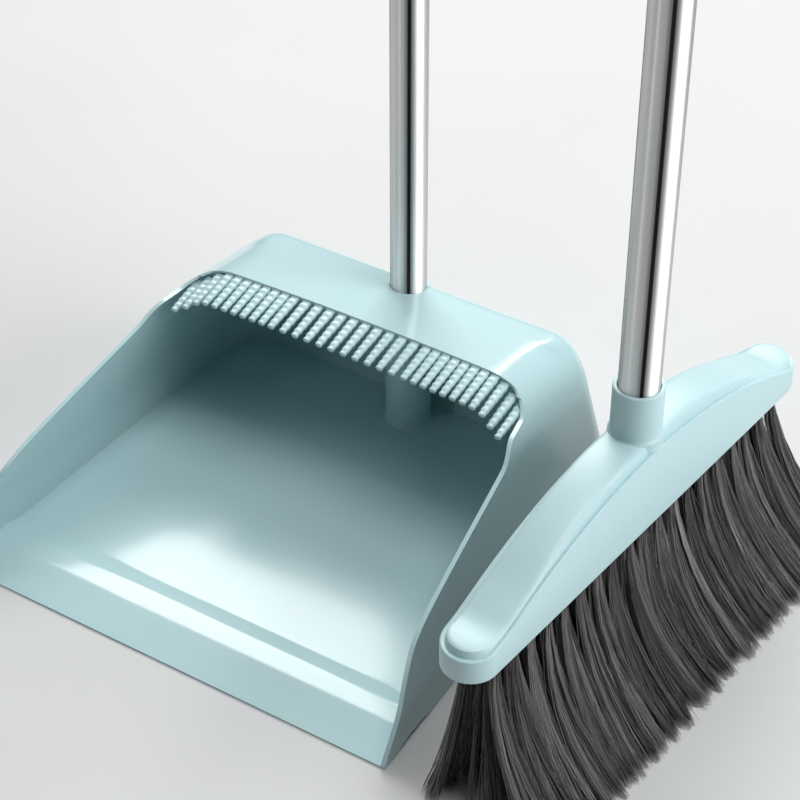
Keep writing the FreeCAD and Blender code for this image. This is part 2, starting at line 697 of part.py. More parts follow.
def make_broom():
    pieces = {
        "broom_head": make_broom_head(),
        "tuft_plate": make_tuft_plate(),
        "plate_screws": make_plate_screws(),
        "tuft_anchors": make_tuft_anchors(),
    }
    for name, top_x, foot_x, places in row_plan():
        pieces[name] = make_tuft_row(name)
    pieces.update(make_pole("broom", BROOM_FOOT_Z, BROOM_COUPLER_Z, BROOM_POLE_TOP_Z))
    return pieces


def place_broom(shape):
    placed = shape.copy()
    placed.rotate(V(0, 0, 0), Z_AXIS, -BROOM_YAW)
    placed.translate(V(BROOM_X, BROOM_Y, 0))
    return placed


def build():
    nodes = {"pan_body": make_pan_body(), "hair_comb": make_hair_comb()}
    nodes.update(make_pole("pan", PAN_POLE_FOOT_Z, PAN_COUPLER_Z, PAN_POLE_TOP_Z))
    for name, shape in make_broom().items():
        nodes[name] = place_broom(shape)
    os.makedirs("parts", exist_ok=True)
    for name, shape in nodes.items():
        shape.exportStep("parts/" + name + ".step")
        print(name, "solids", len(shape.Solids), "valid", shape.isValid(), "volume", round(shape.Volume))


build()
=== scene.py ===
import bmesh
import bpy
import math
import numpy as np
from mathutils import Matrix, Vector


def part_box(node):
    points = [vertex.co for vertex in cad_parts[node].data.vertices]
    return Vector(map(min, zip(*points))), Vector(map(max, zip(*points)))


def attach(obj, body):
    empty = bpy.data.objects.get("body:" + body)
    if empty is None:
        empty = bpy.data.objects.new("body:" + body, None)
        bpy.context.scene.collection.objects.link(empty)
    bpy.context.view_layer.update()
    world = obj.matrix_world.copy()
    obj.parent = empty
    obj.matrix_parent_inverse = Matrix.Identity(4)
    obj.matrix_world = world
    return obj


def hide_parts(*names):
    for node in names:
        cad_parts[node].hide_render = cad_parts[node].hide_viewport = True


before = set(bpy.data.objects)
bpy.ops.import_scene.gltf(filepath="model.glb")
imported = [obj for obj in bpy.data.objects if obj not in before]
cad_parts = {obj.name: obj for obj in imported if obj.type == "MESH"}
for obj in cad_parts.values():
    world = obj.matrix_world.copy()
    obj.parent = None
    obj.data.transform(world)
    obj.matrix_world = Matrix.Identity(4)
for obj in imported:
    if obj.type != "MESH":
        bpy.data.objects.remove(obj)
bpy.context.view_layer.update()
mm = 0.001
print("stage: frame loaded,", len(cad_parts), "nodes")


# camera, floor and lights

viewSet = {
    "place": (0.54606, -0.86817, 0.82511),
    "tilt": 51.65,      # degrees up from straight down
    "turn": 32.44,      # degrees round Z
    "lens": 99.0,
}


def makeCamera():
    data = bpy.data.cameras.new("camera")
    data.lens = viewSet["lens"]
    data.clip_start = 0.05
    data.clip_end = 20.0
    camera = bpy.data.objects.new("camera", data)
    camera.location = viewSet["place"]
    camera.rotation_euler = (math.radians(viewSet["tilt"]), 0.0, math.radians(viewSet["turn"]))
    bpy.context.scene.collection.objects.link(camera)
    bpy.context.scene.camera = camera


def sceneObject(name, mesh):
    thing = bpy.data.objects.new(name, mesh)
    bpy.context.scene.collection.objects.link(thing)
    return thing


# materials: every node group is built from these small helpers

def addNode(tree, kind, **values):
    node = tree.nodes.new(kind)
    for key, value in values.items():
        if hasattr(node, key):
            setattr(node, key, value)
        else:
            node.inputs[key].default_value = value
    return node


def newMaterial(name):
    material = bpy.data.materials.new(name)
    material.use_nodes = True
    tree = material.node_tree
    shader = tree.nodes["Principled BSDF"]
    coords = tree.nodes.new("ShaderNodeTexCoord")
    return material, tree, shader, coords.outputs["Object"]


def setInputs(shader, values):
    for key, value in values.items():
        shader.inputs[key].default_value = value


def noiseOf(tree, coords, scale, detail=2.0, stretch=None):
    if stretch is not None:
        mapping = tree.nodes.new("ShaderNodeMapping")
        mapping.inputs["Scale"].default_value = stretch
        tree.links.new(coords, mapping.inputs["Vector"])
        coords = mapping.outputs["Vector"]
    noise = tree.nodes.new("ShaderNodeTexNoise")
    noise.inputs["Scale"].default_value = scale
    noise.inputs["Detail"].default_value = detail
    tree.links.new(coords, noise.inputs["Vector"])
    return noise.outputs["Fac"]


def spread(tree, value, low, high, fromLow=0.3, fromHigh=0.7):
    node = tree.nodes.new("ShaderNodeMapRange")
    node.inputs["From Min"].default_value = fromLow
    node.inputs["From Max"].default_value = fromHigh
    node.inputs["To Min"].default_value = low
    node.inputs["To Max"].default_value = high
    tree.links.new(value, node.inputs["Value"])
    return node.outputs["Result"]


def mixColour(tree, factor, first, second):
    node = tree.nodes.new("ShaderNodeMix")
    node.data_type = "RGBA"
    tree.links.new(factor, node.inputs["Factor"])
    for socket, value in ((node.inputs[6], first), (node.inputs[7], second)):
        if isinstance(value, tuple):
            socket.default_value = value
        else:
            tree.links.new(value, socket)
    return node.outputs[2]


def mathNode(tree, operation, first, second):
    node = tree.nodes.new("ShaderNodeMath")
    node.operation = operation
    for socket, value in zip(node.inputs, (first, second)):
        if isinstance(value, float):
            socket.default_value = value
        else:
            tree.links.new(value, socket)
    return node.outputs["Value"]


def bumpFrom(tree, shader, height, strength, distance, before=None):
    bump = tree.nodes.new("ShaderNodeBump")
    bump.inputs["Strength"].default_value = strength
    bump.inputs["Distance"].default_value = distance
    tree.links.new(height, bump.inputs["Height"])
    if before is not None:
        tree.links.new(before, bump.inputs["Normal"])
    tree.links.new(bump.outputs["Normal"], shader.inputs["Normal"])
    return bump.outputs["Normal"]


mintSet = {
    "colour": (0.45, 0.64, 0.67, 1.0),
    "paler": (0.475, 0.662, 0.69, 1.0),
    "roughLow": 0.15,
    "roughHigh": 0.19,
    "grain": 900.0,
    "grainDepth": 0.00002,
    "flow": 9.0,
}


def mintPlastic(name, gloss=0.0):
    material, tree, shader, coords = newMaterial(name)
    flow = noiseOf(tree, coords, mintSet["flow"], 3.0, (1.0, 0.35, 1.0))
    shade = mixColour(tree, spread(tree, flow, 0.0, 1.0), mintSet["colour"], mintSet["paler"])
    tree.links.new(shade, shader.inputs["Base Color"])
    wear = noiseOf(tree, coords, 14.0, 3.0)
    rough = spread(tree, wear, mintSet["roughLow"] + gloss, mintSet["roughHigh"] + gloss)
    tree.links.new(rough, shader.inputs["Roughness"])
    grain = noiseOf(tree, coords, mintSet["grain"], 2.0)
    bumpFrom(tree, shader, grain, 0.35, mintSet["grainDepth"])
    setInputs(shader, {"IOR": 1.5, "Specular IOR Level": 0.5})
    return material


steelSet = {
    "rough": 0.42,
    "anisotropy": 0.95,
    "paintedReflectionBands": 4.0,         # dark painted reflection bands round the tube
    "turn": 32.4,           # degrees to the first painted dark reflection band
}
# share of the way from one painted dark reflection band to the next, and how pale the painted reflection
# makes the steel there
paintedReflectionTones = ((0.0, 0.015), (0.02, 0.02), (0.045, 0.35), (0.3, 0.9), (0.6, 1.0))


def polishedSteel(name, centre):
    material, tree, shader, coords = newMaterial(name)
    # base colour holds painted reflections: dark and bright bands fixed round the tube's axis, with a faint
    # tint from brushed lines
    mapping = tree.nodes.new("ShaderNodeMapping")
    mapping.inputs["Location"].default_value = (-centre[0], -centre[1], 0.0)
    tree.links.new(coords, mapping.inputs["Vector"])
    parts = tree.nodes.new("ShaderNodeSeparateXYZ")
    tree.links.new(mapping.outputs["Vector"], parts.inputs["Vector"])
    angle = mathNode(tree, "ARCTAN2", parts.outputs["X"], parts.outputs["Y"])
    turned = mathNode(tree, "ADD", angle, math.radians(steelSet["turn"]))
    wave = mathNode(tree, "COSINE", mathNode(tree, "MULTIPLY", turned, steelSet["paintedReflectionBands"]), 0.0)
    share = spread(tree, wave, 1.0, 0.0, -1.0, 1.0)
    lines = noiseOf(tree, coords, 30.0, 4.0, (14.0, 14.0, 0.15))
    ramp = tree.nodes.new("ShaderNodeValToRGB")
    stops = ramp.color_ramp.elements
    for place, tone in paintedReflectionTones[2:]:
        stops.new(place)
    for stop, (place, tone) in zip(stops, paintedReflectionTones):
        stop.position = place
        stop.color = (tone, tone * 0.985, tone * 0.97, 1.0)
    tree.links.new(share, ramp.inputs["Fac"])
    # painted reflection bands, mixed with a faint grey tint where the brushed lines wear
    paintedReflectionAndWear = mixColour(tree, spread(tree, lines, 0.0, 0.05), ramp.outputs["Color"], (0.5, 0.49, 0.48, 1.0))
    tree.links.new(paintedReflectionAndWear, shader.inputs["Base Color"])
    tree.links.new(spread(tree, lines, steelSet["rough"] - 0.04, steelSet["rough"] + 0.04),
                   shader.inputs["Roughness"])
    tangent = tree.nodes.new("ShaderNodeTangent")
    tangent.direction_type = "RADIAL"
    tangent.axis = "Z"
    tree.links.new(tangent.outputs["Tangent"], shader.inputs["Tangent"])
    setInputs(shader, {"Metallic": 1.0, "Anisotropic": steelSet["anisotropy"],
                       "Anisotropic Rotation": 0.25})
    return material


darkSet = {
    # dark colour, pale colour, roughness, grain scale, grain depth
    "plate": ((0.02, 0.02, 0.022, 1), (0.035, 0.035, 0.037, 1), 0.45, 900.0, 0.00003),
    "grip": ((0.03, 0.032, 0.034, 1), (0.05, 0.052, 0.054, 1), 0.6, 1600.0, 0.00008),
    "insert": ((0.045, 0.047, 0.05, 1), (0.06, 0.062, 0.066, 1), 0.4, 1200.0, 0.00003),
}


def plainPlastic(name, kind):
    dark, pale, rough, grain, depth = darkSet[kind]
    material, tree, shader, coords = newMaterial(name)
    cloud = noiseOf(tree, coords, 45.0, 3.0)
    shade = mixColour(tree, spread(tree, cloud, 0.0, 1.0), dark, pale)
    tree.links.new(shade, shader.inputs["Base Color"])
    tree.links.new(spread(tree, cloud, rough - 0.05, rough + 0.05), shader.inputs["Roughness"])
    bumpFrom(tree, shader, noiseOf(tree, coords, grain, 2.0), 0.5, depth)
    return material


def smallSteel(name):
    material, tree, shader, coords = newMaterial(name)
    cloud = noiseOf(tree, coords, 700.0, 2.0)
    tree.links.new(mixColour(tree, cloud, (0.42, 0.41, 0.4, 1.0), (0.62, 0.61, 0.6, 1.0)),
                   shader.inputs["Base Color"])
    tree.links.new(spread(tree, cloud, 0.25, 0.4), shader.inputs["Roughness"])
    shader.inputs["Metallic"].default_value = 1.0
    return material


bristleLook = {
    "dark": (0.022, 0.021, 0.021, 1.0),
    "grey": (0.52, 0.5, 0.49, 1.0),
    "tip": (0.75, 0.72, 0.7, 1.0),
    "tipStart": 0.96,
    "rough": 0.24,
}


def bristleFibre():
    material, tree, shader, coords = newMaterial("bristleFibre")
    tone = addNode(tree, "ShaderNodeAttribute", attribute_name="fibreTone")
    along = addNode(tree, "ShaderNodeAttribute", attribute_name="fibreAlong")
    body = mixColour(tree, tone.outputs["Fac"], bristleLook["dark"], bristleLook["grey"])
    share = spread(tree, along.outputs["Fac"], 0.0, 0.75, bristleLook["tipStart"], 1.0)
    tree.links.new(mixColour(tree, share, body, bristleLook["tip"]), shader.inputs["Base Color"])
    smooth = bristleLook["rough"]
    rough = spread(tree, tone.outputs["Fac"], smooth, smooth + 0.12, 0.0, 1.0)
    tree.links.new(rough, shader.inputs["Roughness"])
    return material


floorSet = {"half": 12.0, "colour": (0.56, 0.57, 0.575, 1.0), "paler": (0.64, 0.65, 0.655, 1.0)}


def makeFloor():
    bm = bmesh.new()
    bmesh.ops.create_grid(bm, x_segments=1, y_segments=1, size=floorSet["half"])
    mesh = bpy.data.meshes.new("floor")
    bm.to_mesh(mesh)
    bm.free()
    floor = sceneObject("floor", mesh)
    material, tree, shader, coords = newMaterial("paleFloor")
    cloud = noiseOf(tree, coords, 3.0, 2.0)
    shade = mixColour(tree, cloud, floorSet["colour"], floorSet["paler"])
    tree.links.new(shade, shader.inputs["Base Color"])
    shader.inputs["Roughness"].default_value = 0.75
    mesh.materials.append(material)


lightSet = {
    # name: place, aim, width, height, watts, colour
    "backBox": ((-0.8, 1.25, 1.45), (0.0, -0.1, 0.0), 1.3, 1.0, 36.0, (1.0, 0.99, 0.97)),
    "topBox": ((0.4, 0.0, 1.9), (0.1, 0.0, 0.0), 1.0, 1.0, 18.0, (1.0, 1.0, 1.0)),
    "rightBox": ((1.9, 0.2, 0.8), (0.2, -0.1, 0.08), 1.5, 1.6, 32.0, (1.0, 1.0, 1.0)),
    "leftBox": ((-1.4, -0.7, 1.4), (0.0, -0.1, 0.15), 0.7, 0.9, 2.5, (0.98, 0.99, 1.0)),
    "leftStrip": ((-0.75, -1.75, 1.0), (0.05, 0.0, 0.6), 0.12, 1.5, 2.0, (1.0, 1.0, 1.0)),
}
worldSet = {"colour": (0.9, 0.95, 1.0, 1.0), "strength": 0.05}


def makeLights():
    for name, (place, aim, width, height, power, colour) in lightSet.items():
        data = bpy.data.lights.new(name, "AREA")
        data.shape = "RECTANGLE"
        data.size = width
        data.size_y = height
        data.energy = power
        data.color = colour
        lamp = bpy.data.objects.new(name, data)
        lamp.location = place
        toward = Vector(aim) - Vector(place)
        lamp.rotation_euler = toward.to_track_quat("-Z", "Y").to_euler()
        bpy.context.scene.collection.objects.link(lamp)
    world = bpy.data.worlds.new("studio")
    world.use_nodes = True
    background = world.node_tree.nodes["Background"]
    background.inputs["Color"].default_value = worldSet["colour"]
    background.inputs["Strength"].default_value = worldSet["strength"]
    bpy.context.scene.world = world


makeCamera()
makeFloor()
makeLights()
bpy.context.scene.view_settings.view_transform = "Standard"


def middleOf(node):
    low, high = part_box(node)
    return (low + high) / 2.0


panAxis = middleOf("pan_pole_lower")
broomAxis = middleOf("broom_pole_lower")

looks = {
    "mint": mintPlastic("mintPlasticPan"),
    "mintComb": mintPlastic("mintPlasticComb", 0.12),
    "mintHead": mintPlastic("mintPlasticHead", 0.2),
    "mintCap": mintPlastic("mintPlasticCap", 0.04),
    "plate": plainPlastic("darkPlatePlastic", "plate"),
    "grip": plainPlastic("softGripRubber", "grip"),
    "insert": plainPlastic("couplerPlastic", "insert"),
    "steelPan": polishedSteel("polishedSteelPanPole", panAxis),
    "steelBroom": polishedSteel("polishedSteelBroomPole", broomAxis),
    "screw": smallSteel("screwSteel"),
    "wire": smallSteel("anchorWire"),
    "bristle": bristleFibre(),
}
print("stage: camera, floor, lights and materials made")


# shared mesh helpers

def placePiece(name, bm, look, body, nodes, sharp=40.0):
    # a finished bmesh in millimetres becomes an object in metres that rides on its body
    bmesh.ops.scale(bm, vec=(mm, mm, mm), verts=bm.verts)
    mesh = bpy.data.meshes.new(name)
    bm.to_mesh(mesh)
    bm.free()
    mesh.shade_smooth()
    if sharp:
        mesh.set_sharp_from_angle(angle=math.radians(sharp))
    mesh.materials.append(looks[look])
    piece = sceneObject(name, mesh)
    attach(piece, body)
    if nodes:
        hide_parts(*nodes)
    return piece


def tangent(degrees):
    return math.tan(math.radians(degrees))


def softRamp(distance, soft):
    # zero before the corner and a straight slope after it, with a round bend between
    return 0.5 * (distance + math.sqrt(distance * distance + soft * soft))


def smoothStep(value, low, high):
    share = min(1.0, max(0.0, (value - low) / (high - low)))
    return share * share * (3.0 - 2.0 * share)


def sliceBox(bm, axis, places):
    normal = [0.0, 0.0, 0.0]
    normal[axis] = 1.0
    for place in places:
        point = [0.0, 0.0, 0.0]
        point[axis] = place
        geometry = bm.verts[:] + bm.edges[:] + bm.faces[:]
        bmesh.ops.bisect_plane(bm, geom=geometry, plane_co=point, plane_no=normal, dist=0.0001)


def steps(start, end, count):
    return [start + (end - start) * i / count for i in range(1, count)]


# dust pan: one moulded shell. A sliced box is folded into the scoop, then given its wall.

panLow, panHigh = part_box("pan_body")
panSet = {
    "frontHalf": panHigh.x / mm,
    "rearHalf": 131.0,
    "lip": panLow.y / mm,
    "back": panHigh.y / mm,
    "backLean": 4.5,
    "hoodEdge": -49.0,
    "hoodTop": 104.0,
    "hoodFall": 6.8,
    "edgeSweep": 3.0,
    "wall": 2.5,
    "fold": 24.0,
    "foldSoft": 5.0,
    "wallLean": 13.5,
    "shoulder": (30.0, 27.0),           # rounding from hood to side wall, across and down
    "backEdge": (9.0, 8.0),             # rounding from hood to back wall, along and down
    "corner": 24.0,                     # back corners, from above
    "edgeThick": 1.1,                   # hood's wall at its front edge
    "lipThick": 1.2,
    "ridge": 5.0,
    "rampEnd": 25.0,
    "ridgeEnd": 37.0,
    "fallEnd": 48.0,
    "mouthCorner": 16.0,
    "mouthSide": 91.5,
    "footRound": 3.0,
}
# side wall's top edge: distance from the lip, slope after it, softness of the bend
sideEdge = ((36.0, 0.262, 12.0), (148.0, 0.76, 2.5), (160.0, 0.15, 2.5))
sideStart = 1.389


def halfAt(y):
    share = (y - panSet["lip"]) / (panSet["back"] - panSet["lip"])
    return panSet["frontHalf"] + (panSet["rearHalf"] - panSet["frontHalf"]) * share


def hoodAt(y):
    return panSet["hoodTop"] - (y - panSet["hoodEdge"]) * tangent(panSet["hoodFall"])


def wallAt(y, z):
    return halfAt(y) - tangent(panSet["wallLean"]) * softRamp(z - panSet["fold"], panSet["foldSoft"])


def backAt(z):
    return panSet["back"] - z * tangent(panSet["backLean"])


def rimAt(y):
    along = y - panSet["lip"]
    height = 2.0 + sideStart * along
    slope = sideStart
    for start, after, soft in sideEdge:
        height += (after - slope) * (softRamp(along - start, soft) - softRamp(-start, soft))
        slope = after
    return height


def floorTop(y):
    # ramp up from the lip, flat ridge, short fall to the floor
    along = y - panSet["lip"]
    climb = (panSet["ridge"] - panSet["lipThick"]) / panSet["rampEnd"]
    drop = (panSet["ridge"] - panSet["wall"]) / (panSet["fallEnd"] - panSet["ridgeEnd"])
    soft = 1.2
    height = panSet["lipThick"] + climb * along
    height -= climb * softRamp(along - panSet["rampEnd"], soft)
    height -= drop * softRamp(along - panSet["ridgeEnd"], soft)
    height += drop * softRamp(along - panSet["fallEnd"], soft)
    return height


mouthHalf = wallAt(panSet["hoodEdge"], panSet["mouthSide"]) - 2.1
cornerLine = panSet["hoodEdge"] - panSet["edgeSweep"] - panSet["mouthCorner"]
hoodLine = cornerLine + panSet["mouthCorner"] * math.sqrt(0.5)
boxHalf = 140.0
boxTop = 100.0


def sideTop(y):
    # top of the side wall before rounding: the rim in front, the hood behind
    if y <= cornerLine:
        return rimAt(y)
    if y >= hoodLine:
        return hoodAt(y)
    share = (y - cornerLine) / (hoodLine - cornerLine) * math.sqrt(0.5)
    ease = (1.0 - math.sqrt(1.0 - share * share)) / (1.0 - math.sqrt(0.5))
    return rimAt(cornerLine) + (hoodAt(y) - rimAt(cornerLine)) * ease


def hoodFront(x):
    flat = mouthHalf - panSet["mouthCorner"]
    if abs(x) <= flat:
        return panSet["hoodEdge"] - panSet["edgeSweep"] * (x / flat) ** 2
    across = min(abs(x) - flat, panSet["mouthCorner"] * math.sqrt(0.5))
    return cornerLine + math.sqrt(panSet["mouthCorner"] ** 2 - across * across)


def roundOff(gap, drop, across, down):
    # a point near the folded box's top edge sinks below both faces when the edge is rounded
    nearGap = max(0.0, 1.0 - gap / across)
    nearDrop = max(0.0, 1.0 - drop / down)
    if nearGap == 0.0 or nearDrop == 0.0:
        return gap, drop
    pull = max(nearGap, nearDrop) / math.hypot(nearGap, nearDrop)
    return across * (1.0 - nearGap * pull), down * (1.0 - nearDrop * pull)


def panPoint(place, inset):
    across = place.x / boxHalf
    rise = place.z / boxTop
    top = place.z > boxTop - 0.01
    y = place.y
    if top and y > hoodLine - 0.01:
        shift = hoodFront(across * wallAt(y, hoodAt(y))) - hoodLine
        y += shift * (panSet["back"] - y) / (panSet["back"] - hoodLine)
    low = floorTop(y) if inset else max(0.0, floorTop(y) - panSet["wall"])
    roof = hoodAt(y) - inset
    if inset and top:
        # the hood's wall thins towards its front edge
        behind = smoothStep(place.y, hoodLine, hoodLine + 7.0)
        thin = (panSet["wall"] - panSet["edgeThick"]) * (1.0 - behind)
        roof += thin * smoothStep(place.y, cornerLine - 2.0, hoodLine)
    high = min(sideTop(place.y), roof) if place.y < hoodLine else roof
    z = low + (high - low) * rise
    rear = backAt(z) - inset
    if y > hoodLine:
        y = hoodLine + (y - hoodLine) * (rear - hoodLine) / (panSet["back"] - hoodLine)
    limit = wallAt(y, z) - inset
    x = abs(across) * limit
    corner = panSet["corner"] - inset
    overSide, overBack = corner - (limit - x), corner - (rear - y)
    if overSide > 0.0 and overBack > 0.0:
        angle = math.atan2(overBack, overSide)
        gap = corner - max(overSide, overBack)
    else:
        angle = 0.0 if limit - x < rear - y else math.pi / 2.0
        gap = min(limit - x, rear - y)
    turn = smoothStep(angle, 0.0, math.pi / 2.0)
    radii = [side + (back - side) * turn - inset
             for side, back in zip(panSet["shoulder"], panSet["backEdge"])]
    gap, drop = roundOff(gap, roof - z, max(0.5, radii[0]), max(0.5, radii[1]))
    z = roof - drop
    if overSide > 0.0 and overBack > 0.0:
        y = backAt(z) - inset - corner + (corner - gap) * math.sin(angle)
        x = wallAt(y, z) - inset - corner + (corner - gap) * math.cos(angle)
    elif turn > 0.5:
        y = backAt(z) - inset - gap
        x = abs(across) * (wallAt(y, z) - inset)
    else:
        x = wallAt(y, z) - inset - gap
    return Vector((math.copysign(x, across), y, z))


def makePan():
    bm = bmesh.new()
    bmesh.ops.create_cube(bm, size=1.0)
    lip, back = panSet["lip"], panSet["back"]
    bmesh.ops.translate(bm, vec=(0.0, 0.5, 0.5), verts=bm.verts)
    bmesh.ops.scale(bm, vec=(2 * boxHalf, back - lip, boxTop), verts=bm.verts)
    bmesh.ops.translate(bm, vec=(0.0, lip, 0.0), verts=bm.verts)
    wide = steps(0.0, 100.0, 12) + [100.0] + steps(100.0, boxHalf, 11)
    sliceBox(bm, 0, [0.0] + wide + [-place for place in wide])
    sliceBox(bm, 2, [3.0, 8.0, 13.0, 17.0] + steps(17.0, 32.0, 7) + [32.0]
             + steps(32.0, 76.0, 7) + [76.0] + steps(76.0, boxTop, 10))
    bends = [lip + place for place in (panSet["rampEnd"], panSet["ridgeEnd"], panSet["fallEnd"])]
    around = [bend + shift for bend in bends for shift in (-2.4, -1.2, -0.4, 0.4, 1.2, 2.4)]
    sliceBox(bm, 1, [lip + 1.5] + steps(lip + 1.5, lip + 22.0, 6) + around
             + steps(lip + 39.5, lip + 45.5, 2) + steps(lip + 51.0, lip + 140.0, 14)
             + steps(lip + 140.0, cornerLine, 14) + [cornerLine] + steps(cornerLine, hoodLine, 6)
             + [hoodLine] + steps(hoodLine, back - 26.0, 6) + [back - 26.0]
             + steps(back - 26.0, back, 13))
    bm.faces.ensure_lookup_table()
    openFaces = []
    for face in bm.faces:
        middle = face.calc_center_median()
        if middle.y < lip + 0.01 or (middle.z > boxTop - 0.01 and middle.y < hoodLine):
            openFaces.append(face)
    bmesh.ops.delete(bm, geom=openFaces, context="FACES")
    cell = bm.verts.layers.float_vector.new("cell")
    flag = bm.verts.layers.int.new("inner")
    for vert in bm.verts:
        vert[cell] = vert.co
    grown = bmesh.ops.extrude_face_region(bm, geom=bm.faces[:], use_keep_orig=True)
    for item in grown["geom"]:
        if isinstance(item, bmesh.types.BMVert):
            item[flag] = 1
    for vert in bm.verts:
        vert.co = panPoint(Vector(vert[cell]), panSet["wall"] if vert[flag] else 0.0)
    bmesh.ops.recalc_face_normals(bm, faces=bm.faces)
    # soften the foot of the walls
    foot = [edge for edge in bm.edges if isFoot(edge, cell, flag)]
    bmesh.ops.bevel(bm, geom=foot, offset=panSet["footRound"] * 0.6, segments=3, profile=0.5,
                    affect="EDGES", material=-1, clamp_overlap=True)
    return bm


def isFoot(edge, cell, flag):
    first, second = (Vector(vert[cell]) for vert in edge.verts)
    if edge.verts[0][flag] != edge.verts[1][flag]:
        return False
    if max(first.z, second.z) > 0.01 or min(first.y, second.y) < panSet["lip"] + 3.0:
        return False
    alongSide = min(abs(first.x), abs(second.x)) > boxHalf - 0.01
    alongBack = min(first.y, second.y) > panSet["back"] - 0.01
    return alongSide or alongBack


def applyModifiers(piece):
    graph = bpy.context.evaluated_depsgraph_get()
    mesh = bpy.data.meshes.new_from_object(piece.evaluated_get(graph))
    piece.modifiers.clear()
    piece.data = mesh


def spinProfile(bm, points, segments=64, centre=(0.0, 0.0)):
    # a line of (radius, height) points is turned about an upright axis
    verts = [bm.verts.new((centre[0] + radius, centre[1], height)) for radius, height in points]
    edges = [bm.edges.new(pair) for pair in zip(verts, verts[1:])]
    bmesh.ops.spin(bm, geom=verts + edges, cent=(centre[0], centre[1], 0.0), axis=(0.0, 0.0, 1.0),
                   angle=math.tau, steps=segments, use_merge=True)
    bmesh.ops.remove_doubles(bm, verts=bm.verts, dist=0.0005)
    bmesh.ops.recalc_face_normals(bm, faces=bm.faces)


def cutWith(piece, bm, operation):
    # joins or cuts a piece with a second closed bmesh in millimetres
    bmesh.ops.scale(bm, vec=(mm, mm, mm), verts=bm.verts)
    mesh = bpy.data.meshes.new("cutter")
    bm.to_mesh(mesh)
    bm.free()
    cutter = sceneObject("cutter", mesh)
    modifier = piece.modifiers.new("cut", "BOOLEAN")
    modifier.operation = operation
    modifier.solver = "EXACT"
    modifier.object = cutter
    applyModifiers(piece)
    bpy.data.objects.remove(cutter)
    bpy.data.meshes.remove(mesh)


def finishShade(piece, sharp):
    piece.data.shade_smooth()
    piece.data.set_sharp_from_angle(angle=math.radians(sharp))


columnSet = {
    "radius": 13.6,
    "top": 90.0,            # before it is leaned to the hood
    "root": 1.2,
    "bore": 10.6,
    "seat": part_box("pan_pole_plug")[0].z / mm + 22.0,      # under the plug's flange
    "studBore": 7.95,
    "studEnd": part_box("pan_pole_plug")[0].z / mm - 0.1,
    "mouthRound": 0.8,
}


def lean(bm, sink):
    # tops of a column follow the hood's fall towards the back
    for vert in bm.verts:
        if vert.co.z > 70.0:
            vert.co.z = hoodAt(vert.co.y) + (vert.co.z - columnSet["top"]) - sink


def makeColumn():
    bm = bmesh.new()
    radius, root, top = columnSet["radius"], columnSet["root"], columnSet["top"]
    spinProfile(bm, [(0.0, root), (radius + 1.4, root), (radius + 0.4, 3.1), (radius, 4.2),
                     (radius, top), (0.0, top)])
    lean(bm, 1.25)
    return bm


def makeColumnBore():
    bm = bmesh.new()
    bore, soft, top = columnSet["bore"], columnSet["mouthRound"], columnSet["top"]
    spinProfile(bm, [(0.0, columnSet["studEnd"]), (columnSet["studBore"], columnSet["studEnd"]),
                     (columnSet["studBore"], columnSet["seat"]), (bore, columnSet["seat"]),
                     (bore, top - soft), (bore + soft * 0.3, top - soft * 0.35), (bore + soft, top),
                     (bore + soft, top + 2.0), (0.0, top + 2.0)])
    lean(bm, 0.0)
    return bm


pan = placePiece("panShell", makePan(), "mint", "pan", ["pan_body"], 35.0)
cutWith(pan, makeColumn(), "UNION")
cutWith(pan, makeColumnBore(), "DIFFERENCE")
finishShade(pan, 35.0)
print("stage: pan,", len(pan.data.polygons), "faces")


# hair comb: a rail under the hood's edge with scalloped teeth

combSet = {
    "gap": 0.1,
    "railThick": 2.4,
    "railDepth": 8.0,
    "reach": 25.0,
    "drop": 11.0,
    "rootHalf": 3.0,
    "tipShare": 0.66,
    "thick": 3.0,
    "rise": 0.2,            # teeth above the rail's top, just under the hood's edge
    "shoulder": (88.0, 108.0),      # between these the outer teeth follow the hood down
    "endSink": 3.0,
    "bumps": 6.0,
    "bumpSide": 0.24,
    "bumpTop": 0.2,
    "draw": 0.97,           # all places drawn in a little, clear of the mouth's corners
    "outerPitch": 6.5,
    "outerGaps": 10,
    "middlePitch": 8.2,
    "middleGaps": 11,
}


def underHood(x, y, inset):
    # point on the hood's inner side at x, found along the folded box's top
    low, high = 0.0, boxHalf
    for i in range(24):
        middle = (low + high) / 2.0
        if panPoint(Vector((middle, y, boxTop)), inset).x < abs(x):
            low = middle
        else:
            high = middle
    point = panPoint(Vector((low, y, boxTop)), inset)
    return Vector((x, point.y, point.z))


def makeRail(bm):
    half = boxHalf * 0.93
    grown = bmesh.ops.create_cube(bm, size=1.0)["verts"]
    bmesh.ops.translate(bm, vec=(0.0, 0.5, 0.0), verts=grown)
    bmesh.ops.scale(bm, vec=(2.0 * half, combSet["railDepth"], 1.0), verts=grown)
    sliceBox(bm, 0, steps(-half, half, 70))
    sliceBox(bm, 1, steps(0.0, combSet["railDepth"], 3))
    for vert in bm.verts:
        inset = panSet["wall"] + combSet["gap"] + (0.0 if vert.co.z > 0.0 else combSet["railThick"])
        vert.co = panPoint(Vector((vert.co.x, hoodLine + vert.co.y + 2.5, boxTop)), inset)
    edges = [edge for edge in bm.edges if edge.calc_face_angle(0.0) > 1.0]
    bmesh.ops.bevel(bm, geom=edges, offset=0.5, segments=2, profile=0.5, affect="EDGES", material=-1)


